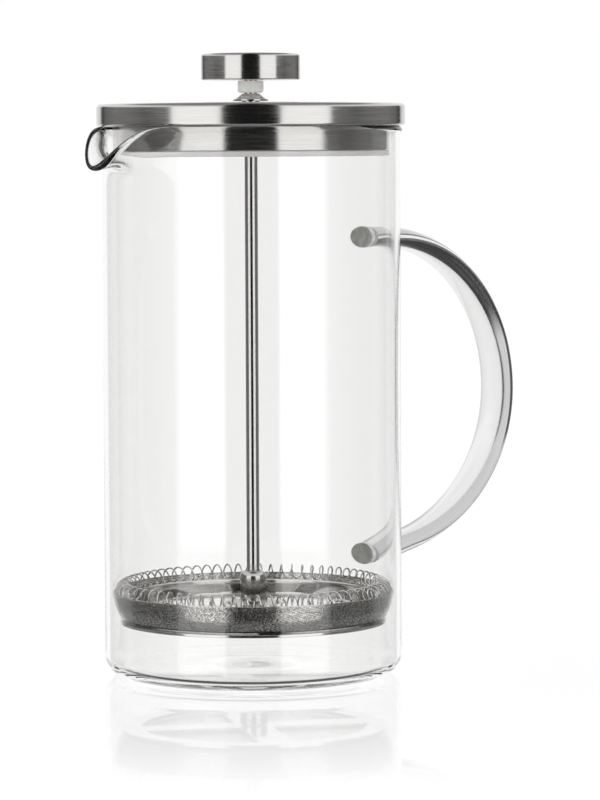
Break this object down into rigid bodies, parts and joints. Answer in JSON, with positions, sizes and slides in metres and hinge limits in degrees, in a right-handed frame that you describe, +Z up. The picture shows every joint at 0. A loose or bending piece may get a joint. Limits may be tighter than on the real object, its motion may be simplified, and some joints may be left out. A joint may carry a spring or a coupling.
{
  "type": "french press",
  "caption": "Glass plunger coffee maker: spouted beaker with a bent glass handle, a steel lid, and a knobbed rod with a spring-edged mesh filter.",
  "frame": {"origin": "centre of the beaker's flat underside", "axes": "+Z up along the plunger rod, +X towards the handle, -X towards the spout"},
  "size_m": [0.1812, 0.1044, 0.2106],
  "materials": {
    "clear_glass": "clear, fire-polished",
    "frosted_glass": "frosted weld",
    "brushed_steel": "brushed in circles",
    "polished_steel": "polished",
    "mesh_steel": "woven wire cloth",
    "white_plastic": "satin, translucent",
    "seal_plastic": "satin, translucent"
  },
  "bodies": {
    "beaker": {"glass_beaker": "clear_glass", "glass_handle": "clear_glass", "upper_handle_weld": "frosted_glass", "lower_handle_weld": "frosted_glass"},
    "lid_seat": {"lid_liner": "seal_plastic"},
    "lid": {"lid_cap": "brushed_steel", "lid_skirt": "brushed_steel", "rod_bush": "polished_steel", "bush_washer": "polished_steel", "bush_nut": "polished_steel"},
    "plunger_stop": {"knob_collar": "white_plastic"},
    "plunger": {"knob_shell": "brushed_steel", "knob_base": "brushed_steel", "knob_core": "white_plastic", "plunger_rod": "polished_steel", "filter_hub": "polished_steel", "spiral_plate": "polished_steel", "coil_spring": "polished_steel", "mesh_screen": "mesh_steel", "cross_plate": "polished_steel", "cross_plate_nut": "polished_steel"}
  },
  "joints": [
    {"name": "lid_lift", "type": "slide", "parent": "beaker", "child": "lid_seat", "axis": [0, 0, 1], "range_m": [0, 0.18]},
    {"name": "lid_turn", "type": "hinge", "parent": "lid_seat", "child": "lid", "pos_m": [0, 0, 0.1859], "axis": [0, 0, 1], "continuous": true},
    {"name": "plunger_slide", "type": "slide", "parent": "lid", "child": "plunger_stop", "axis": [0, 0, 1], "range_m": [0, 0.143]},
    {"name": "plunger_spin", "type": "hinge", "parent": "plunger_stop", "child": "plunger", "pos_m": [0, 0, 0.2014], "axis": [0, 0, 1], "continuous": true}
  ]
}
